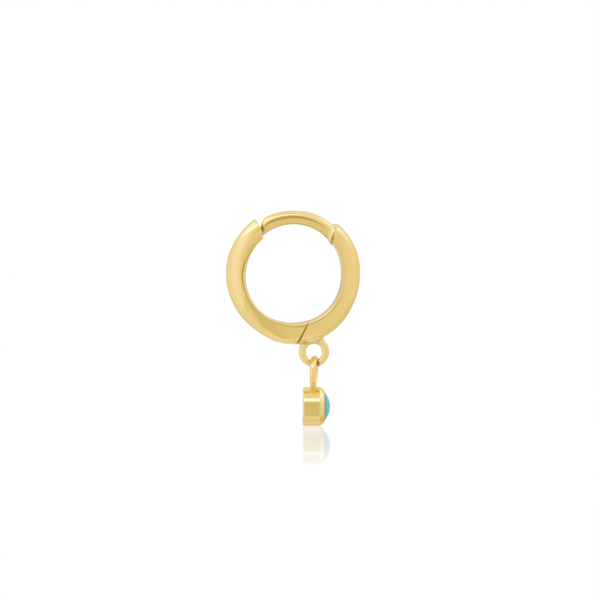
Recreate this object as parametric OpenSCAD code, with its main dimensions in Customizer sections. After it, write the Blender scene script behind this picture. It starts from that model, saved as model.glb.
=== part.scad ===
// Hinged hoop earring with a round turquoise charm.
// X runs from the back half to the front half, Y along the hinge pin and Z up.
// The origin is the middle of the ear post, where the closed earring sits in the ear.

/* [Hoop] */
// Height of the hole through the closed hoop
bore_height = 8.1; // [7.6:0.1:11]
// How far each side of the hole is pressed in from a true circle
bore_press = 0.06; // [0:0.02:0.3]
// Thickness of the band at the top and bottom of the hoop
band_thickness = 1.42; // [1.3:0.02:1.9]
// Width of the band from one side face to the other
band_width = 2.2; // [2:0.05:3]
// Rise of the domed outer face above its two edges
dome_rise = 0.4; // [0.2:0.01:0.5]
// Radius of the rounded edges of the hole
bore_round = 0.22; // [0.08:0.01:0.3]
// How much lower the hole of the back half lies
back_drop = 0.05; // [0:0.01:0.12]
// How much tighter the hole of the back half bends
back_tighter = 0.12; // [0:0.01:0.2]

/* [Ends of the halves] */
// Place of the front half's end, as an angle up from the front
front_end_angle = 41; // [36:0.5:46]
// Place of the back half's end, as an angle up from the front
back_end_angle = 129; // [124:0.5:131]
// Lean of both ends away from upright
end_lean = 20; // [14:0.5:26]

/* [Ear post] */
// Thickness of the ear post
post_thickness = 1.08; // [0.96:0.02:1.3]
// Width of the ear post along the hinge pin
post_width = 1.15; // [1:0.05:1.5]
// Rise of the rounded outer side of the ear post
post_dome = 0.44; // [0.2:0.01:0.5]
// How much tighter the ear post bends than the hole
post_tighter = 0.2; // [0.1:0.02:0.4]
// Length of post that runs on inside the front half
post_root = 0.4; // [0.2:0.05:0.6]

/* [Catch] */
// Thickness of the catch tip
tip_thickness = 0.4; // [0.3:0.02:0.46]
// Width of the catch tip
tip_width = 0.8; // [0.6:0.02:1]
// Height of the tip's middle above the inner side of the post
tip_height = 0.58; // [0.5:0.01:0.66]
// Length of the catch tip past the end of the post
tip_length = 0.86; // [0.7:0.02:0.95]
// Room around the tip in its slot
tip_clearance = 0.06; // [0.04:0.01:0.08]
// Room beyond the tip at the bottom of its slot
tip_end_room = 0.12; // [0.06:0.01:0.15]
// Gap between the post and the back half, where they are closest
catch_gap = 0.08; // [0.06:0.01:0.14]

/* [Hinge] */
// Extra rise of the band over the hinge
hinge_bulge = 0.3; // [0.2:0.01:0.4]
// Radius of the curve of that rise
bulge_radius = 4.95; // [4.75:0.01:5.1]
// Place of the rise, as an angle from the front
bulge_angle = 283; // [279:0.5:287]
// Place of the seam on the outside of the band, right of the hoop's middle
seam_x = 0.34; // [0.28:0.01:0.44]
// Lean of the seam away from upright
seam_lean = 26.5; // [24:0.1:29]
// Width of the seam
seam_gap = 0.06; // [0.05:0.01:0.09]
// Distance of the pin from the seam
pin_setback = 1.1; // [1:0.01:1.25]
// Height of the pin above the seam's outer end, along the seam
pin_height = 0.3; // [0.25:0.01:0.35]
// Diameter of the hinge pin
pin_diameter = 0.4; // [0.3:0.02:0.5]
// Length of the hinge pin, which ends inside the cheeks
pin_length = 1.7; // [1.5:0.02:1.8]
// Running clearance between the pin and its holes
pin_clearance = 0.03; // [0.02:0.01:0.04]
// Width of the hinge tongue
tongue_width = 0.7; // [0.6:0.02:0.8]
// Radius of the eye of the hinge tongue
eye_radius = 0.42; // [0.38:0.01:0.46]
// Length of tongue that runs on inside the front half
tongue_root = 0.4; // [0.2:0.05:0.6]
// Room around the hinge tongue
tongue_clearance = 0.06; // [0.04:0.01:0.08]

/* [Charm ring] */
// Place of the charm ring, right of the hoop's middle
ring_x = 1.71; // [1.66:0.01:2]
// Mean diameter of the charm ring
ring_diameter = 1.95; // [1.9:0.01:2.4]
// Thickness of the charm ring's wire
ring_wire = 0.54; // [0.44:0.01:0.58]
// Gap between the inside of the charm ring and the band above it
ring_drop = 0.17; // [0.1:0.01:0.3]

/* [Bail] */
// Mean diameter of the bail ring
bail_diameter = 2.33; // [2.2:0.01:2.8]
// Thickness of the bail's wire
bail_wire = 0.43; // [0.36:0.01:0.48]
// Gap between the bail and the charm ring that it hangs from
link_gap = 0.04; // [0.03:0.01:0.08]
// How far the bail is turned from square on the cup
bail_turn = 5.5; // [0:0.5:8]
// How far the bail leans, so that its top lies right of its foot
bail_lean = 2.5; // [0:0.5:6]
// How far the whole charm has turned as it hangs
charm_turn = 4.5; // [0:0.5:8]
// How deep the bail sits in the side of the cup
bail_sink = 0.09; // [0.05:0.01:0.15]
// Radius of the solder around the foot of the bail
solder_radius = 0.36; // [0.3:0.01:0.5]
// Height of that solder above the cup
solder_height = 0.12; // [0.08:0.01:0.3]

/* [Cup and stone] */
// Outer diameter of the cup
cup_diameter = 3.15; // [3:0.01:4]
// Depth of the cup from its flat back to its rim
cup_depth = 1.82; // [1.5:0.01:2.2]
// Thickness of the cup's wall
cup_wall = 0.26; // [0.2:0.01:0.35]
// Thickness of the cup's floor
cup_floor = 0.5; // [0.3:0.01:0.7]
// Radius of the rim where it is rubbed over the stone
rim_round = 0.4; // [0.3:0.01:0.42]
// Radius of the edge of the cup's back
back_round = 0.1; // [0.05:0.01:0.2]
// Diameter of the stone that shows inside the rim
stone_opening = 2.24; // [2.1:0.01:2.36]
// Height of the stone's dome above the rim
stone_rise = 0.42; // [0.3:0.01:0.6]
// Gap between the stone and the cup
stone_gap = 0.03; // [0.02:0.01:0.05]

/* [Hidden] */
$fn = 96;

gold = [0.86, 0.69, 0.36];
turquoise = [0.36, 0.72, 0.70];

// How far a cutting shape runs past what it cuts
past = 1;
// How far the cutting lines of the seam and the ends run on inside and outside the band
overrun = 2;
// Half the size of the blocks that cut the hoop into its halves
reach = 20;

// The hoop, seen from the side with its middle at zero
bore_r = bore_height / 2;
outer_r = bore_r + band_thickness;
bore_half = bore_r - bore_press;
side_r = (bore_half * bore_half + bore_r * bore_r) / (2 * bore_half);
side_x = side_r - bore_half;
back_hole_r = side_r - back_tighter;
back_hole = [back_hole_r - bore_half, back_hole_r - bore_r - back_drop];
bulge_reach = outer_r + hinge_bulge - bulge_radius;
bulge_x = bulge_reach * cos(bulge_angle);
bulge_z = bulge_reach * sin(bulge_angle);

// The ear post's own circle, and the height of the origin above the hoop's middle
post_inner_r = bore_r - post_tighter;
post_outer_r = post_inner_r + post_thickness;
post_middle = bore_r + post_thickness / 2;

// The seam: a point at its outer end, its direction up the seam and its normal towards the front half
seam_z = bulge_z - sqrt(pow(bulge_radius, 2) - pow(seam_x - bulge_x, 2));
seam_up = [sin(seam_lean), cos(seam_lean)];
seam_out = [cos(seam_lean), -sin(seam_lean)];
seam_foot = [seam_x, seam_z];
hinge = seam_foot - pin_setback * seam_out + pin_height * seam_up;

// The leaning ends of the halves: a point of each on the hole, and the directions up their faces
front_corner = bore_r * [cos(front_end_angle), sin(front_end_angle)];
front_up = [sin(end_lean), cos(end_lean)];
back_corner = bore_r * [cos(back_end_angle), sin(back_end_angle)];
back_up = [-sin(end_lean), cos(end_lean)];

// The catch tip lies on the circle that the back half's end follows about the hinge
post_end_x = back_corner[0] + catch_gap;
post_end_inner = post_tighter + sqrt(pow(post_inner_r, 2) - pow(post_end_x, 2));
tip_start = [post_end_x, post_end_inner + tip_height];
tip_arm = tip_start - hinge;
tip_angle = atan2(tip_arm[1], tip_arm[0]) + 90 + atan(tip_length / 2 / norm(tip_arm));

// The charm hangs from the lowest stretch of the charm ring
ring_r = ring_diameter / 2;
ring_top = bulge_z - sqrt(pow(bulge_radius, 2) - pow(ring_x - bulge_x, 2));
ring_z = ring_top - ring_drop - ring_r + ring_wire / 2;
swing_z = ring_z - ring_r;
bail_r = bail_diameter / 2;
bail_z = swing_z + ring_wire / 2 + link_gap + bail_wire / 2 - bail_r;
bail_foot = [-bail_r * sin(bail_lean), bail_z - bail_r * cos(bail_lean)];
cup_r = cup_diameter / 2;
cup_top = bail_foot[1] - bail_wire / 2 + bail_sink;
cup_z = cup_top - cup_r;

// The stone: the dome's radius follows from the opening and the rise
opening_r = stone_opening / 2;
dome_r = (pow(opening_r, 2) + pow(stone_rise, 2)) / (2 * stone_rise);
stone_r = cup_r - cup_wall - stone_gap;
stone_top = cup_depth / 2 + stone_rise;
stone_base = -cup_depth / 2 + cup_floor + stone_gap;

// Turns a shape drawn in plan so that its second axis is up and its height runs along Y
module upright() {
    rotate([90, 0, 0]) children();
}

// A flat shape, drawn as the hoop is seen from the side, made into a block centred on Y
module block(width) {
    upright() linear_extrude(width, center = true) children();
}

// Moves a shape from the hoop's middle to the ear's origin
module hung() {
    translate([0, 0, -post_middle]) children();
}

// Solid disc with a domed rim, as a profile to revolve
module domed_profile(radius, width, rise) {
    curve = (pow(width / 2, 2) + pow(rise, 2)) / (2 * rise);
    intersection() {
        translate([0, -width / 2]) square([radius + past, width]);
        union() {
            translate([0, -width / 2]) square([radius - rise, width]);
            translate([radius - curve, 0]) circle(curve);
        }
    }
}

// The same disc, standing
module domed_disc(radius, width, rise) {
    upright() rotate_extrude() domed_profile(radius, width, rise);
}

// Outer form of the whole hoop, with the rise over the hinge
module outer_form() {
    domed_disc(outer_r, band_width, dome_rise);
    translate([bulge_x, 0, bulge_z]) domed_disc(bulge_radius, band_width, dome_rise);
}

// Hole with rounded edges, as a profile to revolve
module hole_profile(radius, width, edge) {
    translate([0, -width / 2 - past]) square([radius, width + 2 * past]);
    for (side = [0, 1]) {
        mirror([0, side]) difference() {
            translate([0, width / 2 - edge]) square([radius + edge, edge + past]);
            translate([radius + edge, width / 2 - edge]) circle(edge);
        }
    }
}

// The same hole, standing
module hole(radius, width, edge) {
    upright() rotate_extrude() hole_profile(radius, width, edge);
}

// Side view of everything that belongs to the front half
module front_side() {
    low = seam_foot - overrun * seam_up;
    high = seam_foot + bore_r * seam_up / 2;
    corner_in = front_corner - overrun * front_up;
    corner_out = front_corner + bore_r * front_up;
    polygon([low, high, corner_in, corner_out, [reach, reach], [reach, -reach], [low[0], -reach]]);
}

// Side view of everything that belongs to the back half
module back_side() {
    foot = seam_foot - seam_gap * seam_out;
    low = foot - overrun * seam_up;
    high = foot + bore_r * seam_up / 2;
    corner_in = back_corner - overrun * back_up;
    corner_out = back_corner + bore_r * back_up;
    polygon([low, high, corner_in, corner_out, [-reach, reach], [-reach, -reach], [low[0], -reach]]);
}

// Side view of the stretch of the post's circle that is the ear post
module post_side() {
    inset = post_root * [cos(end_lean), -sin(end_lean)];
    low = front_corner + inset - overrun * front_up;
    high = front_corner + inset + bore_r * front_up;
    polygon([[post_end_x, low[1]], [post_end_x, reach], [high[0], reach], high, low]);
}

// Places a shape in the hinge's own directions: first axis to the front half, second up the seam
module at_hinge() {
    translate([hinge[0], 0, hinge[1]]) rotate([0, seam_lean, 0]) children();
}

// Side view of the hinge tongue, which runs a little way into the front half
module tongue_side() {
    circle(eye_radius);
    translate([0, -eye_radius]) square([pin_setback + tongue_root, 2 * eye_radius]);
}

// The room that the tongue needs in the back half, all the way to fully open
module tongue_room() {
    room = eye_radius + tongue_clearance;
    at_hinge() block(tongue_width + 2 * tongue_clearance) {
        circle(room);
        translate([0, -room]) square([2 * pin_setback, 2 * room]);
        translate([-room, -2 * pin_setback]) square([2 * pin_setback + room, 2 * pin_setback]);
    }
}

// What the back half must lose at the seam's outer end to turn past the front half. It starts a
// seam's width below the pin, where the turning face has moved clear of the front half already.
module knuckle_relief() {
    turn_r = pin_setback - seam_gap;
    at_hinge() block(band_width + 2 * past) difference() {
        translate([pin_setback / 2, -pin_setback - seam_gap]) square([pin_setback, pin_setback]);
        circle(turn_r);
    }
}

// Catch tip or its slot, pointing along the first axis, grown by a margin
module tip_shape(length, margin) {
    half = tip_thickness / 2 + margin;
    translate([tip_start[0], 0, tip_start[1]]) rotate([0, -tip_angle, 0]) {
        translate([-past / 2, -tip_width / 2 - margin, -half])
            cube([length - half + past / 2, tip_width + 2 * margin, 2 * half]);
        translate([length - half, 0, 0]) block(tip_width + 2 * margin) circle(half);
    }
}

// Ring of round wire, standing in the plane of the hoop
module wire_ring(mean_r, wire) {
    upright() rotate_extrude() translate([mean_r, 0]) circle(wire / 2);
}

// Cylinder along Y
module across(radius, length) {
    upright() cylinder(r = radius, h = length, center = true);
}

// Turns the charm about the upright line through its ring's middle
module turned(angle) {
    translate([ring_x, 0, 0]) rotate([0, 0, -angle]) children();
}

// Places a shape in the cup's own directions, with the third axis from its back to its rim
module at_cup() {
    turned(charm_turn) translate([0, 0, cup_z]) rotate([0, 90, 0]) children();
}

// Outline of the closed cup, as a profile to revolve about its own axis
module cup_profile() {
    back = -cup_depth / 2;
    translate([0, back + back_round]) square([cup_r, cup_depth - back_round]);
    translate([0, back]) square([cup_r - back_round, cup_depth]);
    translate([cup_r - back_round, back + back_round]) circle(back_round);
}

// The rubbed-over rim's curve, as what is cut from the cup's front corner
module rim_cut_profile() {
    front = cup_depth / 2;
    difference() {
        translate([cup_r - rim_round, front - rim_round]) square([rim_round + past, rim_round + past]);
        translate([cup_r - rim_round, front - rim_round]) circle(rim_round);
    }
}

// Side view of the stone from its base to its dome, grown by a margin
module stone_profile(margin) {
    base = stone_base - margin;
    intersection() {
        translate([0, base]) square([stone_r + margin, stone_top + margin - base]);
        union() {
            translate([0, stone_top - dome_r]) circle(dome_r + margin);
            translate([0, base]) square([stone_r + margin, stone_top - dome_r - base]);
        }
    }
}

module front_half() {
    color(gold) hung() difference() {
        union() {
            difference() {
                intersection() {
                    outer_form();
                    block(2 * band_width) front_side();
                }
                translate([-side_x, 0, 0]) hole(side_r, band_width, bore_round);
            }
            intersection() {
                translate([0, 0, post_tighter]) difference() {
                    domed_disc(post_outer_r, post_width, post_dome);
                    across(post_inner_r, post_width + past);
                }
                block(2 * band_width) post_side();
            }
            tip_shape(tip_length, 0);
            intersection() {
                outer_form();
                at_hinge() block(tongue_width) tongue_side();
            }
            translate([ring_x, 0, ring_z]) wire_ring(ring_r, ring_wire);
        }
        at_hinge() across(pin_diameter / 2 + pin_clearance, band_width);
    }
}

module back_half() {
    color(gold) hung() difference() {
        intersection() {
            outer_form();
            block(2 * band_width) back_side();
        }
        translate([back_hole[0], 0, back_hole[1]]) hole(back_hole_r, band_width, bore_round);
        tongue_room();
        knuckle_relief();
        tip_shape(tip_length + tip_end_room, tip_clearance);
        at_hinge() across(pin_diameter / 2 + pin_clearance, pin_length + 2 * pin_clearance);
    }
}

module hinge_pin() {
    color(gold) hung() at_hinge() across(pin_diameter / 2, pin_length);
}

module charm_bezel() {
    color(gold) hung() {
        difference() {
            union() {
                at_cup() rotate_extrude() cup_profile();
                turned(charm_turn) translate([bail_foot[0], 0, cup_top - bail_sink])
                    cylinder(r1 = solder_radius, r2 = bail_wire / 2, h = bail_sink + solder_height);
            }
            at_cup() rotate_extrude() rim_cut_profile();
            at_cup() rotate_extrude() stone_profile(stone_gap);
        }
        turned(charm_turn + bail_turn) translate([0, 0, bail_z])
            rotate([0, bail_lean, 0]) rotate([0, 0, 90]) wire_ring(bail_r, bail_wire);
    }
}

module cabochon() {
    color(turquoise) hung() at_cup() rotate_extrude() stone_profile(0);
}

front_half();
back_half();
hinge_pin();
charm_bezel();
cabochon();
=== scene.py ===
"""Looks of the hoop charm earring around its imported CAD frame.

Every piece is meshed from a signed-distance formula, in mm about the hoop's middle, and then
moved to the part's own frame. Negative distances are inside the metal.
"""
import math

import bpy
import numpy as np
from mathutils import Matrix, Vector


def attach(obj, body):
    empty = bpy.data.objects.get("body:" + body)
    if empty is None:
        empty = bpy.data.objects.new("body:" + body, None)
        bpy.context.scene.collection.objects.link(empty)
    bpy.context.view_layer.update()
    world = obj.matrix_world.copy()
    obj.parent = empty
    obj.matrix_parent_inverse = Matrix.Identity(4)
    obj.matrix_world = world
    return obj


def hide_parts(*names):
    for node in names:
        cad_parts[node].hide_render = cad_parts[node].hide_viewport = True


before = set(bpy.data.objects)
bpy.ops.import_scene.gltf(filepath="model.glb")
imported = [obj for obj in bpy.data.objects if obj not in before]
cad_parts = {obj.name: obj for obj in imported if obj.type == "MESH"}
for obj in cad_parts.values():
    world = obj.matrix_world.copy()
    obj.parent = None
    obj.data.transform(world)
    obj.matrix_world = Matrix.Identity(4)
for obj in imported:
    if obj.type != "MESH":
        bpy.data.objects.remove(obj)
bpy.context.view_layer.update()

MM = 0.001

# Sizes, in mm and degrees
BORE_R = 4.05
BORE_PRESS = 0.06
BACK_DROP = 0.05
BACK_TIGHTER = 0.12
BAND = 1.42
HALF_WIDTH = 1.10
BULGE = 0.30
BULGE_R = 4.95
BULGE_ANGLE = 283.0
POST_THICK = 1.08
POST_HALF = 0.575
POST_DOME = 0.39
POST_TIGHTER = 0.20
POST_ROOT = 0.10
FRONT_END = 41.0
BACK_END = 129.0
END_LEAN = 20.0
CATCH_GAP = 0.08
TIP_THICK = 0.40
TIP_HALF = 0.40
TIP_HEIGHT = 0.58
TIP_LENGTH = 0.86
TIP_CLEAR = 0.06
TIP_ROOM = 0.12
SEAM_X = 0.34
SEAM_LEAN = 26.5
SEAM_GAP = 0.06
SEAM_PROUD = 0.052
PIN_SETBACK = 1.10
PIN_HEIGHT = 0.30
PIN_R = 0.20
PIN_HALF = 0.85
PIN_CLEAR = 0.03
TONGUE_HALF = 0.35
EYE_R = 0.42
TONGUE_CLEAR = 0.06
RING_X = 1.71
RING_OUT = 1.245
RING_DROP = 0.17
RING_CAD_R = 0.975
RING_CAD_WIRE = 0.54
CUP_R = 1.575
CUP_DEPTH = 1.82
RIM_START = 0.475
CUP_FLOOR = 0.50
STONE_GAP = 0.03
STONE_OPENING = 1.12
STONE_SIDE = 1.16
RIM_FRONT = 0.87
STONE_RISE = 0.42
BAIL_WIRE_R = 0.215
BAIL_LEAN = 2.5
BAIL_TURN = 5.5
CHARM_TURN = 4.5
BAIL_SINK = 0.09
BAIL_CAD_R = 1.165
LINK_GAP = 0.04

# Edges, fillets and other small relief, in mm
BULGE_BLEND = 0.06
TIP_INSIDE = 0.5
TIP_ROUND = 0.05
POST_SIDE_ROUND = 0.10
POST_IN_ROUND = 0.07
POST_END_AT = [3.5, 4.2]
POST_END_ROUND = [0.05, 0.52]
POST_FOOT_BACK = 0.02
POST_FILLET = 0.28
RING_ACROSS = 0.27
RING_FILLET = 0.20
TONGUE_INSIDE = 0.4
TONGUE_ROUND = 0.04
PIN_ROUND = 0.04
THROUGH = 2
END_ROUND_AT = [4.1, 4.3, 5.0, 5.4]
END_ROUND = [0.08, 0.04, 0.06, 0.26]
SEAM_ROUND = 0.008
RIM_SLOPE = 0.45
RIM_CURVE = 0.85
RIM_SCALE = 0.85
RIM_ROUND = 0.05
CUP_BACK_ROUND = 0.13
STONE_ROUND = 0.06
STONE_BASE_ROUND = 0.03
BAIL_LOWER = 0.065
BAIL_WIRES = [0.205, 0.225, 0.285]
BAIL_FILLET = 0.10
# Lumps of solder, as middle, radii and blend
ROOT_LUMP = ((3.37, 0, 3.87), (0.24, 0.55, 0.16), 0.12)
RING_LUMPS = [((1.40, 0, -5.52), (0.74, 0.62, 0.20), 0.24),
              ((2.06, 0, -5.30), (0.32, 0.56, 0.14), 0.18)]

OUTER_R = BORE_R + BAND
SIDE_HALF = BORE_R - BORE_PRESS
SIDE_R = (SIDE_HALF ** 2 + BORE_R ** 2) / (2 * SIDE_HALF)
SIDE_X = SIDE_R - SIDE_HALF
BACK_R = SIDE_R - BACK_TIGHTER
REACH = OUTER_R + BULGE - BULGE_R
BULGE_X = REACH * math.cos(math.radians(BULGE_ANGLE))
BULGE_Z = REACH * math.sin(math.radians(BULGE_ANGLE))
POST_IN = BORE_R - POST_TIGHTER
POST_OUT = POST_IN + POST_THICK
ORIGIN_Z = BORE_R + POST_THICK / 2


def turn(angle):
    a = math.radians(angle)
    return np.array([math.cos(a), math.sin(a)])


SEAM_Z = BULGE_Z - math.sqrt(BULGE_R ** 2 - (SEAM_X - BULGE_X) ** 2)
SEAM_UP = turn(90 - SEAM_LEAN)
SEAM_OUT = turn(-SEAM_LEAN)
SEAM_FOOT = np.array([SEAM_X, SEAM_Z])
HINGE = SEAM_FOOT - PIN_SETBACK * SEAM_OUT + PIN_HEIGHT * SEAM_UP
FRONT_CORNER = BORE_R * turn(FRONT_END)
BACK_CORNER = BORE_R * turn(BACK_END)
POST_END = BACK_CORNER[0] + CATCH_GAP
POST_END_IN = POST_TIGHTER + math.sqrt(POST_IN ** 2 - POST_END ** 2)
TIP_START = np.array([POST_END, POST_END_IN + TIP_HEIGHT])
TIP_ARM = TIP_START - HINGE
TIP_ANGLE = math.degrees(math.atan2(TIP_ARM[1], TIP_ARM[0])) + 90 + math.degrees(
    math.atan(TIP_LENGTH / 2 / np.hypot(*TIP_ARM)))
RING_TOP = BULGE_Z - math.sqrt(BULGE_R ** 2 - (RING_X - BULGE_X) ** 2)
RING_Z = RING_TOP - RING_DROP - RING_CAD_R + RING_CAD_WIRE / 2
SWING_Z = RING_Z - RING_CAD_R
BAIL_TOP = SWING_Z + RING_CAD_WIRE / 2 + LINK_GAP + 2 * BAIL_WIRE_R
BAIL_CAD_Z = BAIL_TOP - BAIL_WIRE_R - BAIL_CAD_R
CUP_TOP = BAIL_CAD_Z - BAIL_CAD_R * math.cos(math.radians(BAIL_LEAN)) - BAIL_WIRE_R + BAIL_SINK
CUP_Z = CUP_TOP - CUP_R


# Distance helpers
def round_and(a, b, r):
    """Intersection whose edge has radius r."""
    return np.minimum(np.maximum(a, b), -r) + np.hypot(np.maximum(a + r, 0), np.maximum(b + r, 0))


def round_or(a, b, r):
    """Union whose inner corner has a fillet of radius r."""
    return np.maximum(np.minimum(a, b), r) - np.hypot(np.maximum(r - a, 0), np.maximum(r - b, 0))


def blend_or(a, b, k):
    h = np.clip(0.5 + 0.5 * (b - a) / k, 0, 1)
    return b * (1 - h) + a * h - k * h * (1 - h)


TABLE_BLUR = 4.0


def around(x, z, table):
    """Value of a table of (angle, value) pairs at each point's angle round the hoop, without kinks."""
    angles, values = zip(*table)
    steps = np.arange(360)
    plain = np.interp(steps, angles, values, period=360)
    apart = np.minimum(steps, 360 - steps)
    window = np.exp(-(apart / TABLE_BLUR) ** 2)
    smooth = np.fft.irfft(np.fft.rfft(plain) * np.fft.rfft(window / window.sum()), 360)
    return np.interp(np.degrees(np.arctan2(z, x)) % 360, steps, smooth, period=360)


def domed(x, y, z, cx, cz, radius, half, rise):
    curve = (half ** 2 + rise ** 2) / (2 * rise)
    q = np.hypot(x - cx, z - cz)
    return np.hypot(np.maximum(q - (radius - curve), 0), y) - curve


# How the band's section changes round the hoop, as (angle, mm) or (angle, slope)
RISE = [(0, 0.40), (30, 0.44), (42, 0.46), (122, 0.70), (150, 0.66), (166, 0.57), (175, 0.52),
        (205, 0.46), (245, 0.47), (253, 0.45), (261, 0.68), (280, 0.63), (305, 0.46), (330, 0.34),
        (350, 0.38)]
SHOULDER = [(0, 0.45), (25, 0.30), (36, 0.12), (45, 0.10), (122, 0.10), (138, 0.12), (150, 0.30),
            (165, 0.50), (200, 0.50), (215, 0.14), (330, 0.12), (345, 0.35)]
BEVEL = [(0, 0.05), (40, 0.05), (130, 0.05), (155, 0.07), (168, 0.20), (180, 0.24), (225, 0.18),
         (270, 0.16), (315, 0.15), (338, 0.11), (352, 0.05)]
WIDER = [(0, 0.0), (12, 0.03), (26, 0.03), (38, 0.0), (270, 0.0), (280, 0.03), (300, 0.09), (320, 0.11),
         (340, 0.07), (352, 0.05)]
TILT = [(0, 0.05), (35, -0.01), (45, 0.0), (122, 0.18), (145, 0.17), (158, 0.14), (168, 0.12),
        (177, 0.10), (200, 0.06), (225, 0.085), (248, 0.035), (270, 0.05), (315, 0.035), (340, 0.045)]
CROWN = [(0, 0.0), (15, 0.03), (35, 0.10), (45, 0.04), (122, 0.0), (145, 0.0), (160, 0.04), (178, 0.18),
         (200, 0.16), (215, 0.11), (235, 0.06), (260, 0.0), (345, 0.0)]
BACK_WIDER = [(140, 0.0), (152, -0.03), (165, -0.055), (180, -0.05), (225, -0.055), (256, -0.06),
              (276, -0.03), (290, 0.0)]
SWELL = [(0, -0.012), (6, 0.012), (12, 0.040), (26, 0.02), (36, 0.0), (128, -0.03), (150, -0.05),
         (160, 0.0), (170, 0.015), (179, -0.012), (190, 0.005), (205, -0.015), (220, 0.0), (235, 0.025),
         (251, 0.0), (257, 0.07), (262, 0.13), (267, 0.05), (274, 0.02), (300, 0.0), (312, 0.03),
         (328, 0.065), (340, 0.035), (350, 0.01)]
POST_SWELL = [(40, 0.03), (58, 0.04), (72, 0.045), (80, 0.02), (87, -0.008), (96, 0.0), (110, 0.025),
              (120, 0.02), (130, 0.0)]
FACE_START = 4.25


def dome_and_sides(x, y, z):
    rise = around(x, z, RISE)
    swell = around(x, z, SWELL)
    main = domed(x, y, z, 0, 0, OUTER_R + swell, HALF_WIDTH, rise)
    bulge = domed(x, y, z, BULGE_X, BULGE_Z, BULGE_R + swell, HALF_WIDTH, rise)
    out = np.hypot(x, z) - FACE_START
    tilt = around(x, z, TILT)
    drop = tilt * out + np.maximum(-tilt, 0) * (OUTER_R - FACE_START)
    drop = np.maximum(drop, 0) + around(x, z, CROWN) * np.maximum(out, 0) ** 2
    return blend_or(main, bulge, BULGE_BLEND), np.abs(y) - HALF_WIDTH + drop


def outer_form(x, y, z):
    dome, sides = dome_and_sides(x, y, z)
    return round_and(dome, sides, around(x, z, SHOULDER))


def band(x, y, z, hole_r, hole_x, hole_z):
    hole = hole_r - np.hypot(x - hole_x, z - hole_z)
    return round_and(outer_form(x, y, z), hole, around(x, z, BEVEL))


def beyond(x, z, point, normal):
    """Distance past a line in the side view, along its normal."""
    return (x - point[0]) * normal[0] + (z - point[1]) * normal[1]


def at_hinge(x, z):
    """The hinge's own directions: first towards the front half, second up the seam."""
    return beyond(x, z, HINGE, SEAM_OUT), beyond(x, z, HINGE, SEAM_UP)


def pin_hole(x, y, z, half):
    a, b = at_hinge(x, z)
    return np.maximum(np.hypot(a, b) - (PIN_R + PIN_CLEAR), np.abs(y) - half)


def tip(x, y, z, length, margin):
    half = TIP_THICK / 2 + margin
    along = turn(TIP_ANGLE)
    a = beyond(x, z, TIP_START, along)
    b = beyond(x, z, TIP_START, np.array([-along[1], along[0]]))
    reach = length - half
    flat = np.hypot(a - np.clip(a, -TIP_INSIDE, reach), b) - half
    return round_and(flat, np.abs(y) - TIP_HALF - margin, TIP_ROUND)


# The post's end, as it looks: its foot is close to the back half and it leans a little the same way
POST_END_LEAN = 8.0
NECK_FROM = [0.0, 0.10, 0.30, 0.46]
NECK_WIDER = [0.515, 0.42, 0.08, 0.0]
POST_FOOT = np.array([POST_END - POST_FOOT_BACK, POST_END_IN])


def ear_post(x, y, z):
    form = domed(x, y, z, 0, POST_TIGHTER, POST_OUT + around(x, z, POST_SWELL), POST_HALF, POST_DOME)
    neck = np.interp(-beyond(x, z, FRONT_CORNER, turn(-END_LEAN)), NECK_FROM, NECK_WIDER)
    form = round_and(form, np.abs(y) - POST_HALF - neck, POST_SIDE_ROUND)
    form = round_and(form, POST_IN - np.hypot(x, z - POST_TIGHTER), POST_IN_ROUND)
    end = beyond(x, z, POST_FOOT, turn(180 + POST_END_LEAN))
    form = round_and(form, end, np.interp(z, POST_END_AT, POST_END_ROUND))
    root = FRONT_CORNER + POST_ROOT * turn(-END_LEAN)
    form = np.maximum(form, beyond(x, z, root, turn(-END_LEAN)))
    return np.maximum(form, -z)


RING_IN = [(0, 0.65), (60, 0.67), (90, 0.70), (120, 0.68), (180, 0.655), (215, 0.68), (245, 0.735),
           (270, 0.756), (295, 0.735), (325, 0.68)]


def charm_ring(x, y, z):
    dx, dz = x - RING_X, z - RING_Z
    inner = around(dx, dz, RING_IN)
    mean, wire = (RING_OUT + inner) / 2, (RING_OUT - inner) / 2
    across = np.minimum(wire, RING_ACROSS)
    q = np.hypot(dx, dz) - mean
    return (np.hypot(q / wire, y / across) - 1) * across


def tongue(x, y, z):
    a, b = at_hinge(x, z)
    side = np.hypot(a - np.clip(a, 0, PIN_SETBACK + TONGUE_INSIDE), b) - EYE_R
    return round_and(side, np.abs(y) - TONGUE_HALF, TONGUE_ROUND)


def end_round(x, z):
    """Radius of the ends' edges: small round the hole, larger over the dome."""
    return np.where(z > 0, np.interp(np.hypot(x, z), END_ROUND_AT, END_ROUND), SEAM_ROUND)


def with_lump(solid, x, y, z, middle, radii, melt):
    """The solid with an ellipsoid of solder melted into it."""
    a, b, c = [(at - centre) / radius for at, centre, radius in zip((x, y, z), middle, radii)]
    lump = (np.hypot(np.hypot(a, b), c) - 1) * min(radii)
    return blend_or(solid, lump, melt)


def front_half(x, y, z):
    solid = band(x, y, z, SIDE_R + around(x, z, WIDER), -SIDE_X, 0)
    seam = -beyond(x, z, SEAM_FOOT - SEAM_PROUD * SEAM_OUT, SEAM_OUT)
    end = -beyond(x, z, FRONT_CORNER, turn(-END_LEAN))
    solid = round_and(solid, np.where(z > 0, end, seam), end_round(x, z))
    solid = round_or(solid, ear_post(x, y, z), POST_FILLET)
    solid = with_lump(solid, x, y, z, *ROOT_LUMP)
    solid = np.minimum(solid, tip(x, y, z, TIP_LENGTH, 0))
    solid = np.minimum(solid, np.maximum(tongue(x, y, z), outer_form(x, y, z)))
    solid = round_or(solid, charm_ring(x, y, z), RING_FILLET)
    for middle, radii, melt in RING_LUMPS:
        solid = with_lump(solid, x, y, z, middle, radii, melt)
    return np.maximum(solid, -pin_hole(x, y, z, THROUGH))


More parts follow.
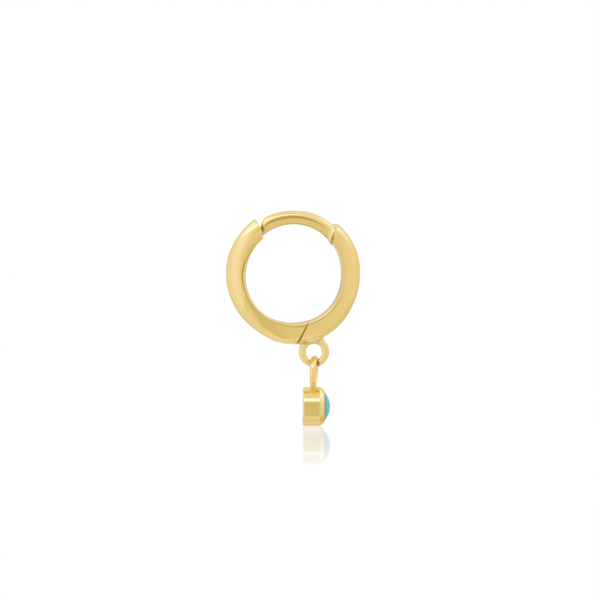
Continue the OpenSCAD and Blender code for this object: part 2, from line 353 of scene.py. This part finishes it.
def back_half(x, y, z):
    solid = band(x, y, z, BACK_R + around(x, z, BACK_WIDER), BACK_R - SIDE_HALF, BACK_R - BORE_R - BACK_DROP)
    seam = beyond(x, z, SEAM_FOOT - SEAM_GAP * SEAM_OUT, SEAM_OUT)
    end = beyond(x, z, BACK_CORNER, turn(END_LEAN))
    solid = round_and(solid, np.where(z > 0, end, seam), end_round(x, z))
    a, b = at_hinge(x, z)
    room = EYE_R + TONGUE_CLEAR
    slot = np.hypot(a - np.clip(a, 0, 2 * PIN_SETBACK), b) - room
    under = np.maximum(np.maximum(-room - a, a - 2 * PIN_SETBACK), b)
    slot = np.maximum(np.minimum(slot, under), np.abs(y) - TONGUE_HALF - TONGUE_CLEAR)
    knuckle = np.maximum(np.maximum(PIN_SETBACK / 2 - a, b), PIN_SETBACK - SEAM_GAP - np.hypot(a, b))
    solid = np.maximum(solid, -slot)
    solid = np.maximum(solid, -knuckle)
    solid = np.maximum(solid, -tip(x, y, z, TIP_LENGTH + TIP_ROOM, TIP_CLEAR))
    return np.maximum(solid, -pin_hole(x, y, z, PIN_HALF + 2 * PIN_CLEAR))


def hinge_pin(x, y, z):
    a, b = at_hinge(x, z)
    return round_and(np.hypot(a, b) - PIN_R, np.abs(y) - PIN_HALF, PIN_ROUND)


# The charm's own directions: u from the cup's back to its rim, v across, w up
def charm_axes(x, y, angle):
    a = math.radians(angle)
    u = (x - RING_X) * math.cos(a) - y * math.sin(a)
    v = (x - RING_X) * math.sin(a) + y * math.cos(a)
    return u, v


def cup_body(x, y, z):
    u, v = charm_axes(x, y, CHARM_TURN)
    w = z - CUP_Z
    q = np.hypot(v, w)
    front, back = u - RIM_FRONT, -CUP_DEPTH / 2 - u
    wall = q - CUP_R
    past = np.maximum(u - RIM_START, 0)
    rim = (q - CUP_R + RIM_SLOPE * past + RIM_CURVE * past ** 2) * RIM_SCALE
    form = round_and(np.maximum(wall, rim), front, RIM_ROUND)
    return round_and(form, back, CUP_BACK_ROUND)


def stone_form(x, y, z, margin):
    u, v = charm_axes(x, y, CHARM_TURN)
    w = z - CUP_Z
    q = np.hypot(v, w)
    dome_r = (STONE_OPENING ** 2 + STONE_RISE ** 2) / (2 * STONE_RISE)
    top = CUP_DEPTH / 2 + STONE_RISE
    dome = np.hypot(q, np.maximum(u - (top - dome_r), 0)) - dome_r - margin
    side = q - STONE_SIDE - margin
    base = -CUP_DEPTH / 2 + CUP_FLOOR + STONE_GAP - u - margin
    return round_and(round_and(dome, side, STONE_ROUND), base, STONE_BASE_ROUND)


BAIL_TOP_SEEN = BAIL_TOP - BAIL_LOWER
BAIL_BOTTOM = CUP_TOP - BAIL_SINK
BAIL_TALL = (BAIL_TOP_SEEN - BAIL_BOTTOM) / 2 - BAIL_WIRE_R
BAIL_MID = (BAIL_TOP_SEEN + BAIL_BOTTOM) / 2


def bail(x, y, z):
    u, v = charm_axes(x, y, CHARM_TURN + BAIL_TURN)
    a = math.radians(BAIL_LEAN)
    w = z - BAIL_MID
    u, w = u * math.cos(a) - w * math.sin(a), u * math.sin(a) + w * math.cos(a)
    v = v * BAIL_TALL / BAIL_CAD_R
    wire = np.interp(w, [-BAIL_TALL, 0, BAIL_TALL], BAIL_WIRES)
    return np.hypot(np.hypot(v, w) - BAIL_TALL - BAIL_WIRE_R + wire, u) - wire


def charm_bezel(x, y, z):
    solid = round_or(cup_body(x, y, z), bail(x, y, z), BAIL_FILLET)
    return np.maximum(solid, -stone_form(x, y, z, STONE_GAP / 2))


def cabochon(x, y, z):
    return stone_form(x, y, z, 0)


# Meshing
def surface_nets(field, low, high, cell):
    """Quads of the surface where the field is zero, with a vertex in each cell it crosses."""
    counts = np.ceil((np.array(high) - low) / cell).astype(int) + 1
    axes = [low[k] + cell * np.arange(counts[k]) for k in range(3)]
    grid = np.meshgrid(*axes, indexing="ij", sparse=True)
    values = np.broadcast_to(field(*grid), counts).astype(np.float32)
    shape = counts - 1
    total = np.zeros(tuple(shape) + (3,), np.float32)
    hits = np.zeros(tuple(shape), np.int8)
    crossings = []
    for axis in range(3):
        a = values.take(range(0, counts[axis] - 1), axis)
        b = values.take(range(1, counts[axis]), axis)
        cross = (a < 0) != (b < 0)
        t = np.where(cross, a / np.where(cross, a - b, 1), 0)
        crossings.append((cross, a < 0))
        others = [k for k in range(3) if k != axis]
        for du in (0, 1):
            for dv in (0, 1):
                cut = [slice(None)] * 3
                cut[others[0]] = slice(du, du + shape[others[0]])
                cut[others[1]] = slice(dv, dv + shape[others[1]])
                part = cross[tuple(cut)]
                hits += part
                total[..., axis] += t[tuple(cut)]
                total[..., others[0]] += du * part
                total[..., others[1]] += dv * part
    active = np.argwhere(hits > 0)
    index = np.full(tuple(shape), -1, np.int32)
    index[tuple(active.T)] = np.arange(len(active))
    where = tuple(active.T)
    points = low + cell * (active + total[where] / hits[where][:, None])
    quads = []
    for axis, (cross, negative) in enumerate(crossings):
        u, v = [(1, 2), (2, 0), (0, 1)][axis]
        edges = np.argwhere(cross)
        ok = (edges[:, u] > 0) & (edges[:, v] > 0) & (edges[:, u] < shape[u]) & (edges[:, v] < shape[v])
        edges = edges[ok]
        step_u, step_v = np.zeros(3, int), np.zeros(3, int)
        step_u[u], step_v[v] = 1, 1
        ring = [edges - step_u - step_v, edges - step_v, edges, edges - step_u]
        quad = np.stack([index[tuple(c.T)] for c in ring], 1)
        flip = ~negative[tuple(edges.T)]
        quad[flip] = quad[flip][:, ::-1]
        quads.append(quad)
    return points, np.concatenate(quads)


def slope(field, points, step=0.004):
    out = np.empty_like(points)
    for k in range(3):
        d = np.zeros(3)
        d[k] = step
        out[:, k] = (field(*(points + d).T) - field(*(points - d).T)) / (2 * step)
    return out


# Painted shade lines round the hoop, by angle: at the bevel's start, with its radius, and at the dome's edge
BEVEL_LINE = [(126, 0.30), (145, 0.50), (160, 0.80), (172, 1.0), (184, 1.0), (200, 0.60), (225, 0.45),
              (250, 0.45), (270, 0.60), (300, 0.60), (325, 0.60), (340, 0.20), (350, 0.0), (480, 0.0)]
BEVEL_AT = [(126, 3.86), (140, 3.90), (152, 3.95), (162, 4.05), (172, 4.17), (182, 4.23), (225, 4.22),
            (262, 4.22), (275, 4.27), (350, 4.28)]
EDGE_LINE = [(40, 0.0), (122, 0.12), (140, 0.12), (152, 0.0), (200, 0.0), (212, 0.20), (235, 0.20),
             (250, 0.05), (285, 0.0), (300, 0.35), (325, 0.30), (340, 0.0)]
# Strength by angle of a painted dark reflection along the post's face
POST_LINE = [(50, 0.20), (62, 0.55), (72, 1.0), (92, 1.15), (105, 0.80), (122, 0.75)]
# Painted shade in the hoop's creases and lines, and pale paint at its joints: where each one runs, in mm,
# its width and its shade
SIDE_FROM = 0.6
BEVEL_WIDTH = 0.06
BORE_AT = [4.07, 4.12]
BORE_HALF = 1.06
BORE_FADE = [0.0, 2.4]
BORE_SHADE = 0.12
EDGE_IN = 0.045
EDGE_WIDTH = 0.035
EDGE_DEPTH = 0.08
POST_FACE_FROM = 0.3
POST_LINE_R = 4.44
POST_LINE_WIDTH = 0.08
UNDER_R = 3.88
UNDER_WIDTH = 0.05
UNDER_FROM = 2.6
UNDER_SHADE = 0.8
SEAM_Q = [4.1, 5.3]
SEAM_SHADE = [1.0, 2.0]
SEAM_WIDTH = [0.045, 0.07]
SEAM_ENDS = [-5.66, -5.52, -4.20, -4.10]
ROOT_Q = [4.05, 4.2, 4.45, 4.6, 4.8]
ROOT_SHADE = [0.9, 1.1, 0.8, 0.2, 0.0]
ROOT_AT = 0.06
ROOT_WIDTH = 0.05
# Pale solder paint at the ring's joint and the post's root, also painted light that lifts the darker crease
# there
JOINT_REACH = 0.40
JOINT_SHADE = 1.5
ROOT_SOLDER_AND_LIGHT = ((3.24, 3.68), (0.30, 0.38))
# Dark spots, painted shade by the bail and in the catch's gap, as shade, middle, radii and where: anywhere,
# on the near side or on the post's face
SPOTS = [(2.4, (2.03, -7.34), (0.11, 0.22), "near"),
         (0.6, (1.42, -7.34), (0.12, 0.20), "near"),
         (1.7, (POST_END - 0.02, 3.70), (0.11, 0.24), "any"),
         (0.5, (2.93, 3.11), (0.14, 0.10), "post")]


def ridge(distance, width):
    return np.exp(-(distance / width) ** 2)


def spot(x, z, middle, radii):
    return ridge(np.hypot((x - middle[0]) / radii[0], (z - middle[1]) / radii[1]), 1.0)


def hoop_painted_shade(x, y, z):
    """Painted shade of each point of the hoop: 1 is an olive crease shade, 2 a brown one and -1 pale solder
    paint.
    """
    q = np.hypot(x, z)
    across = np.abs(y)
    sides = across > SIDE_FROM
    on_post = (across > POST_FACE_FROM) & (across < SIDE_FROM)
    under_post = (across < SIDE_FROM) & (z > UNDER_FROM)
    bore = np.interp(q, BORE_AT, [1.0, 0.0]) * (across < BORE_HALF) * np.interp(z, BORE_FADE, [1.0, 0.0])
    dome, flat = dome_and_sides(x, y, z)
    post = np.hypot(x, z - POST_TIGHTER)
    seam = beyond(x, z, SEAM_FOOT - (SEAM_GAP + SEAM_PROUD) / 2 * SEAM_OUT, SEAM_OUT)
    seam_shade = np.interp(q, SEAM_Q, SEAM_SHADE) * np.interp(z, SEAM_ENDS, [0.0, 1.0, 1.0, 0.0])
    root = beyond(x, z, FRONT_CORNER, turn(-END_LEAN))
    root_shade = np.interp(q, ROOT_Q, ROOT_SHADE) * sides * (z > 0) * (x > 0)
    lines = [around(x, z, BEVEL_LINE) * ridge(q - around(x, z, BEVEL_AT), BEVEL_WIDTH) * sides,
             BORE_SHADE * bore,
             around(x, z, EDGE_LINE) * ridge(dome + EDGE_IN, EDGE_WIDTH) * (flat > -EDGE_DEPTH),
             around(x, z, POST_LINE) * ridge(post - POST_LINE_R, POST_LINE_WIDTH) * on_post,
             UNDER_SHADE * ridge(post - UNDER_R, UNDER_WIDTH) * under_post,
             seam_shade * ridge(seam, np.interp(q, SEAM_Q, SEAM_WIDTH)),
             root_shade * ridge(root - ROOT_AT, ROOT_WIDTH)]
    regions = {"any": across >= 0, "near": y < 0, "post": on_post}
    # Painted shade where the bail crosses the ring and in the catch's gap, and a darker mark on the post's
    # face
    for amount, middle, radii, region in SPOTS:
        lines.append(amount * spot(x, z, middle, radii) * regions[region])
    shade = np.maximum.reduce(lines)
    near_ring = ridge(np.maximum(charm_ring(x, y, z), 0), JOINT_REACH)
    near_hoop = ridge(np.maximum(outer_form(x, y, z), 0), JOINT_REACH)
    joint = np.minimum(JOINT_SHADE * near_ring * near_hoop, 1)
    solder_and_light = np.maximum(joint, spot(x, z, *ROOT_SOLDER_AND_LIGHT))
    return shade - solder_and_light * (1 - np.minimum(shade, 1))


def cup_shade(x, y, z):
    """Painted shade in bands low on the cup's wall, where its reflection is darker."""
    heights = [-1.30, -1.14, -1.07, -1.00, -0.82, -0.74]
    return np.interp(z - CUP_Z, heights, [0.05, 0.10, 0.38, 0.26, 0.22, 0.0])


def stone_edge(x, y, z):
    """Shade of the stone: greener beside its rim."""
    u, v = charm_axes(x, y, CHARM_TURN)
    return np.interp(u, [0.86, 0.96, 1.10], [1.0, 0.6, 0.0])


# How the points are moved onto the surface: rounds, and limits in slope, in cells and near zero
ROUNDS = 4
LEAST_SLOPE = 0.05
FARTHEST = 0.8
TINY = 1e-9


def build(name, field, low, high, cell, creases=None):
    """Meshes a field inside a box and links it, with its shade at each vertex."""
    low = np.array(low, float)
    points, quads = surface_nets(field, low, high, cell)
    start = points.copy()
    for _ in range(ROUNDS):
        grad = slope(field, points)
        size = np.maximum((grad ** 2).sum(1), LEAST_SLOPE)
        points = points - grad * (field(*points.T) / size)[:, None]
    move = points - start
    length = np.maximum(np.linalg.norm(move, axis=1), TINY)
    points = start + move * np.minimum(1, FARTHEST * cell / length)[:, None]
    normals = slope(field, points)
    normals /= np.maximum(np.linalg.norm(normals, axis=1), TINY)[:, None]
    mesh = bpy.data.meshes.new(name)
    mesh.vertices.add(len(points))
    placed = (points - [0, 0, ORIGIN_Z]) * MM
    mesh.vertices.foreach_set("co", placed.astype(np.float32).ravel())
    mesh.loops.add(quads.size)
    mesh.loops.foreach_set("vertex_index", quads.astype(np.int32).ravel())
    mesh.polygons.add(len(quads))
    mesh.polygons.foreach_set("loop_start", np.arange(0, quads.size, 4, dtype=np.int32))
    mesh.update(calc_edges=True)
    mesh.validate()
    mesh.shade_smooth()
    mesh.normals_split_custom_set_from_vertices(normals.tolist())
    shade = mesh.attributes.new("shade", "FLOAT", "POINT")
    if creases:
        shade.data.foreach_set("value", creases(*points.T).astype(np.float32))
    piece = bpy.data.objects.new(name, mesh)
    bpy.context.scene.collection.objects.link(piece)
    print(name, len(points), "points", 2 * len(quads), "triangles")
    return piece


CELL = 0.042
CHARM_CELL = CELL * 0.75
PIN_CELL = 0.04
SIDE = HALF_WIDTH + 0.12
PIN_ROOM = 0.3
# Corners of each piece's grid
FRONT_BOX = ((-3.5, -SIDE, -7.8), (5.6, SIDE, 5.3))
BACK_BOX = ((-5.6, -SIDE, -5.95), (1.4, SIDE, 4.7))
PIN_BOX = ((HINGE[0] - PIN_ROOM, -1.0, HINGE[1] - PIN_ROOM), (HINGE[0] + PIN_ROOM, 1.0, HINGE[1] + PIN_ROOM))
CHARM_BOX = ((0.5, -1.8, -12.6), (2.9, 1.8, -6.4))
STONE_BOX = ((1.0, -1.5, -12.4), (3.2, 1.5, -9.3))

front = build("front_half_gold", front_half, *FRONT_BOX, CELL, hoop_painted_shade)
back = build("back_half_gold", back_half, *BACK_BOX, CELL, hoop_painted_shade)
pin = build("hinge_pin_gold", hinge_pin, *PIN_BOX, PIN_CELL)
charm = build("charm_gold", charm_bezel, *CHARM_BOX, CHARM_CELL, cup_shade)
stone = build("stone_turquoise", cabochon, *STONE_BOX, CHARM_CELL, stone_edge)

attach(front, "front")
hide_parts("front_half")
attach(back, "back")
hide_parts("back_half")
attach(pin, "front")
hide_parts("hinge_pin")
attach(charm, "charm")
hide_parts("charm_bezel")
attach(stone, "charm")
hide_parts("cabochon")


# Materials
def feed(tree, socket, value):
    """Links a socket from another one, or sets it to a constant."""
    if isinstance(value, bpy.types.NodeSocket):
        tree.links.new(value, socket)
    else:
        socket.default_value = value


def node(tree, kind, **inputs):
    """A new node, its inputs given by name, or by number after the letter i."""
    made = tree.nodes.new("ShaderNode" + kind)
    for name, value in inputs.items():
        key = int(name[1:]) if name[0] == "i" and name[1:].isdigit() else name
        feed(tree, made.inputs[key], value)
    return made


def sums(tree, operation, a, b=0.0, clamped=False):
    made = node(tree, "Math", i0=a, i1=b)
    made.operation = operation
    made.use_clamp = clamped
    return made.outputs[0]


def blend(tree, weight, a, b):
    made = node(tree, "Mix", i0=weight, i2=a, i3=b)
    return made.outputs[0]


def colour_mix(tree, weight, a, b):
    """The mix of a and b, each a colour or a socket."""
    made = tree.nodes.new("ShaderNodeMix")
    made.data_type = "RGBA"
    for index, value in ((0, weight), (6, a), (7, b)):
        feed(tree, made.inputs[index], value)
    return made.outputs[2]


def fill_ramp(made, stops):
    """Gives a ramp node its stops, as (place, colour) pairs in order."""
    elements = made.color_ramp.elements
    while len(elements) < len(stops):
        elements.new(0.5)
    for element, (at, colour) in zip(elements, stops):
        element.position = at
        element.color = tuple(colour) + (1,)


def ramp(tree, source, stops):
    made = node(tree, "ValToRGB", Fac=source)
    fill_ramp(made, stops)
    return made.outputs["Color"]


def levels(tree, value, low, high, stops):
    """A smooth grey curve through (place, level) stops; a level of 2 is the brightest."""
    share = sums(tree, "DIVIDE", sums(tree, "SUBTRACT", value, low), high - low)
    made = node(tree, "ValToRGB", Fac=share)
    made.color_ramp.interpolation = "EASE"
    fill_ramp(made, [((at - low) / (high - low), (level / 2,) * 3) for at, level in sorted(stops)])
    return sums(tree, "MULTIPLY", made.outputs["Color"], 2.0)


def noise(tree, scale, detail):
    place = node(tree, "TexCoord")
    made = node(tree, "TexNoise", Vector=place.outputs["Object"], Scale=scale, Detail=detail)
    return made.outputs["Fac"]


def bumped(tree, source, strength, distance):
    made = node(tree, "Bump", Strength=strength, Distance=distance, Height=source)
    return made.outputs["Normal"]


def vertex_shade(tree):
    """The shade that was worked out at each vertex."""
    made = node(tree, "Attribute")
    made.attribute_name = "shade"
    return made.outputs["Fac"]


def new_material(name):
    made = bpy.data.materials.new(name)
    made.use_nodes = True
    return made


# Gold: its two tones, the pale paint for solder, also painted light, the olive and brown painted shade for
# creases, and the tint at grazing angles, darker where shade is painted
GOLD_TONES = [(0.35, (0.925, 0.790, 0.350)), (0.65, (0.935, 0.805, 0.365))]
SOLDER_AND_LIGHT = (0.91, 0.87, 0.50, 1)
OLIVE_SHADE = (0.50, 0.38, 0.085, 1)
BROWN_SHADE = (0.48, 0.155, 0.002, 1)
# Tint at grazing angles, without and with painted shade
EDGE_UNSHADED = (0.82, 0.75, 0.58, 1)
EDGE_SHADED = (0.30, 0.22, 0.10, 1)
EDGE_SOONER = 1.8
GOLD_GRAIN = 900.0
GOLD_DETAIL = 3.0
WEAR_GRAIN = 2500.0
WEAR_DETAIL = 4.0
WEAR_BUMP = 0.012
WEAR_DEPTH = 0.00002
GLOSS_LOW = 0.07
GLOSS_HIGH = 0.12
SOLDER_ROUGH = 0.36


def gold_material():
    material = new_material("polished_gold")
    tree = material.node_tree
    shade = vertex_shade(tree)
    solder_and_light = sums(tree, "MULTIPLY", shade, -1.0, clamped=True)
    tones = ramp(tree, noise(tree, GOLD_GRAIN, GOLD_DETAIL), GOLD_TONES)
    # Pale solder paint, which is also painted light
    colour = colour_mix(tree, solder_and_light, tones, SOLDER_AND_LIGHT)
    # Olive, then brown painted shade
    for past, paint in ((0.0, OLIVE_SHADE), (1.0, BROWN_SHADE)):
        share = sums(tree, "SUBTRACT", shade, past, clamped=True)
        colour = colour_mix(tree, share, colour, paint)
    sooner = sums(tree, "MULTIPLY", shade, EDGE_SOONER, clamped=True)
    edge = colour_mix(tree, sooner, EDGE_UNSHADED, EDGE_SHADED)
    wear = noise(tree, WEAR_GRAIN, WEAR_DETAIL)
    gloss = node(tree, "MapRange", Value=wear)
    gloss.inputs["To Min"].default_value = GLOSS_LOW
    gloss.inputs["To Max"].default_value = GLOSS_HIGH
    rough = node(tree, "Math", i0=solder_and_light, i1=SOLDER_ROUGH, i2=gloss.outputs["Result"])
    rough.operation = "MULTIPLY_ADD"
    shader = tree.nodes["Principled BSDF"]
    feed(tree, shader.inputs["Metallic"], 1.0)
    feed(tree, shader.inputs["Base Color"], colour)
    feed(tree, shader.inputs["Specular Tint"], edge)
    feed(tree, shader.inputs["Roughness"], rough.outputs[0])
    feed(tree, shader.inputs["Normal"], bumped(tree, wear, WEAR_BUMP, WEAR_DEPTH))
    return material


# Turquoise: its three tones and the green beside its rim
STONE_TONES = [(0.30, (0.085, 0.600, 0.680)), (0.52, (0.095, 0.630, 0.720)), (0.75, (0.120, 0.660, 0.760))]
STONE_GREEN = (0.085, 0.47, 0.36, 1)
STONE_GRAIN = 900.0
STONE_DETAIL = 4.0
STONE_ROUGH = 0.18
STONE_BUMP = 0.03
STONE_DEPTH = 0.00003


def turquoise_material():
    material = new_material("polished_turquoise")
    tree = material.node_tree
    grain = noise(tree, STONE_GRAIN, STONE_DETAIL)
    tones = ramp(tree, grain, STONE_TONES)
    shader = tree.nodes["Principled BSDF"]
    feed(tree, shader.inputs["Base Color"], colour_mix(tree, vertex_shade(tree), tones, STONE_GREEN))
    feed(tree, shader.inputs["Roughness"], STONE_ROUGH)
    feed(tree, shader.inputs["Normal"], bumped(tree, grain, STONE_BUMP, STONE_DEPTH))
    return material


gold = gold_material()
for piece in (front, back, pin, charm):
    piece.data.materials.append(gold)
stone.data.materials.append(turquoise_material())

# Floor
FLOOR_Z = (CUP_Z - CUP_R - ORIGIN_Z - 0.02) * MM
# Share of the floor's mirror by how far the floor is in front of the hoop, in mm
MIRROR = [(-40, 0), (-10, 0.37), (17, 0.37), (28, 0.30), (34, 0.22), (38, 0.10), (42, 0)]


def plane(name, corners):
    mesh = bpy.data.meshes.new(name)
    mesh.from_pydata(corners, [], [(0, 1, 2, 3)])
    mesh.update()
    obj = bpy.data.objects.new(name, mesh)
    bpy.context.scene.collection.objects.link(obj)
    return obj


def floor_material():
    """White that shines by itself, with a sharp mirror that fades away from the object."""
    material = new_material("white_floor")
    tree = material.node_tree
    tree.nodes.remove(tree.nodes["Principled BSDF"])
    place = node(tree, "TexCoord")
    axes = node(tree, "SeparateXYZ", Vector=place.outputs["Object"])
    ahead = sums(tree, "MULTIPLY", axes.outputs["Y"], -1 / MM)
    mirror = levels(tree, ahead, -80, 80, MIRROR)
    glow = node(tree, "Emission", Strength=1.0)
    shine = node(tree, "BsdfGlossy", Color=(1, 1, 1, 1), Roughness=0.0)
    mixed = node(tree, "MixShader", i0=mirror, i1=glow.outputs[0], i2=shine.outputs[0])
    feed(tree, tree.nodes["Material Output"].inputs["Surface"], mixed.outputs[0])
    return material


floor = plane("floor", [(-1, -1, FLOOR_Z), (1, -1, FLOOR_Z), (1, 1, FLOOR_Z), (-1, 1, FLOOR_Z)])
floor.data.materials.append(floor_material())
floor.visible_glossy = False
floor.visible_diffuse = False

# Level of the studio by height in degrees: in front of the object, in a stripe near the camera, just
# right of it, on the left, far left, on the right and behind
FRONT = [(-90, 0.95), (-75, 0.97), (-60, 0.89), (-46, 0.84), (24, 0.85), (31, 0.88), (38, 1.45),
         (49, 1.45), (56, 0.88), (90, 0.88)]
STRIPE = [(-90, 0.93), (-78, 0.95), (-70, 0.94), (-63, 0.91), (-53, 0.70), (24, 0.70), (31, 0.80),
          (38, 1.45), (49, 1.45), (56, 0.88), (90, 0.88)]
NEAR_RIGHT = [(-90, 0.95), (-60, 0.92), (-40, 0.90), (-20, 0.87), (24, 0.89), (31, 0.90), (38, 1.02),
              (49, 1.02), (56, 0.88), (90, 0.88)]
LEFT = [(-90, 0.93), (-50, 0.93), (-20, 0.97), (24, 1.01), (34, 1.08), (39, 1.45), (47, 1.45),
        (56, 1.08), (72, 1.04), (90, 0.95)]
FAR_LEFT = [(-90, 0.93), (-50, 0.92), (-20, 0.92), (0, 0.93), (24, 0.95), (36, 1.15), (47, 1.22),
            (58, 1.02), (90, 0.95)]
RIGHT = [(-90, 0.86), (-60, 0.81), (-42, 0.78), (-15, 0.84), (0, 0.88), (15, 0.91), (27, 1.06),
         (38, 1.18), (48, 1.15), (60, 0.95), (90, 0.92)]
BEHIND = [(-90, 0.88), (-45, 0.92), (-12, 0.84), (-2, 0.90), (8, 0.92), (16, 0.95), (90, 0.95)]
# Each zone's levels, and its share by side angle: 0 towards the camera's side, positive to the right
ZONES = [(STRIPE, [(-9, 0), (-6.5, 1), (-2, 1), (9, 0)]),
         (NEAR_RIGHT, [(6, 0), (13, 1)]),
         (LEFT, [(-36, 1), (-11, 0)]),
         (FAR_LEFT, [(-80, 1), (-62, 0)]),
         (RIGHT, [(56, 0), (78, 1)])]
AWAY = [(110, 0), (165, 1)]
# Colour of the light at each level
TINTS = [(0.0, (0, 0, 0)), (0.69, (0.694, 0.600, 0.400)), (0.80, (0.81, 0.69, 0.52)),
         (0.89, (0.90, 0.785, 0.70)), (1.0, (1.0, 0.92, 1.0)), (1.15, (1.12, 1.13, 1.36)),
         (1.45, (1.28, 1.34, 1.74)), (2.0, (2.0, 2.0, 2.0))]
DEGREES = 180 / math.pi


def paint_studio(sky):
    """Paints the world by direction, but white for the camera and for the floor's sharp mirror."""
    place = node(sky, "TexCoord")
    axes = node(sky, "SeparateXYZ", Vector=place.outputs["Generated"])
    x, y, z = axes.outputs
    height = sums(sky, "MULTIPLY", sums(sky, "ARCSINE", z), DEGREES)
    side = sums(sky, "MULTIPLY", sums(sky, "ARCTAN2", x, sums(sky, "MULTIPLY", y, -1.0)), DEGREES)
    level = levels(sky, height, -90, 90, FRONT)
    for stops, share in ZONES:
        weight = levels(sky, side, -180, 180, share)
        level = blend(sky, weight, level, levels(sky, height, -90, 90, stops))
    away = levels(sky, sums(sky, "ABSOLUTE", side), 0, 180, AWAY)
    level = blend(sky, away, level, levels(sky, height, -90, 90, BEHIND))
    halved = [(at / 2, [part / 2 for part in colour]) for at, colour in TINTS]
    tint = ramp(sky, sums(sky, "MULTIPLY", level, 0.5), halved)
    lit = node(sky, "VectorMath", i0=tint, i1=(2, 2, 2))
    lit.operation = "MULTIPLY"
    seen = node(sky, "LightPath")
    white = sums(sky, "MAXIMUM", seen.outputs["Is Camera Ray"], seen.outputs["Is Singular Ray"])
    background = sky.nodes["Background"]
    feed(sky, background.inputs["Color"], colour_mix(sky, white, lit.outputs[0], (1, 1, 1, 1)))
    feed(sky, background.inputs["Strength"], 1.0)


world = bpy.data.worlds.new("studio")
bpy.context.scene.world = world
world.use_nodes = True
paint_studio(world.node_tree)

# Camera
VIEW_AZ = -4.5
VIEW_EL = 3.3
PX_PER_MM = 12.27
PICTURE_PX = 600
HOOP_PX = (293.0, 273.6)
DISTANCE_MM = 600.0
SENSOR = 36.0
az = math.radians(VIEW_AZ)
el = math.radians(VIEW_EL)
back_dir = Vector((math.sin(az) * math.cos(el), -math.cos(az) * math.cos(el), math.sin(el)))
right = Vector((math.cos(az), math.sin(az), 0))
up = back_dir.cross(right)
frame_mm = PICTURE_PX / PX_PER_MM
shift_right = (PICTURE_PX / 2 - HOOP_PX[0]) / PX_PER_MM
shift_down = (PICTURE_PX / 2 - HOOP_PX[1]) / PX_PER_MM
middle = Vector((0, 0, -ORIGIN_Z)) + right * shift_right - up * shift_down
camera_data = bpy.data.cameras.new("camera")
camera_data.sensor_fit = "HORIZONTAL"
camera_data.sensor_width = SENSOR
camera_data.lens = SENSOR * DISTANCE_MM / frame_mm
camera_data.clip_start = 0.01
camera_data.clip_end = 10
camera = bpy.data.objects.new("camera", camera_data)
bpy.context.scene.collection.objects.link(camera)
camera.location = (middle + back_dir * DISTANCE_MM) * MM
camera.rotation_euler = (-back_dir).to_track_quat("-Z", "Y").to_euler()
bpy.context.scene.camera = camera

bpy.context.scene.view_settings.view_transform = "Standard"
bpy.context.scene.view_settings.look = "None"
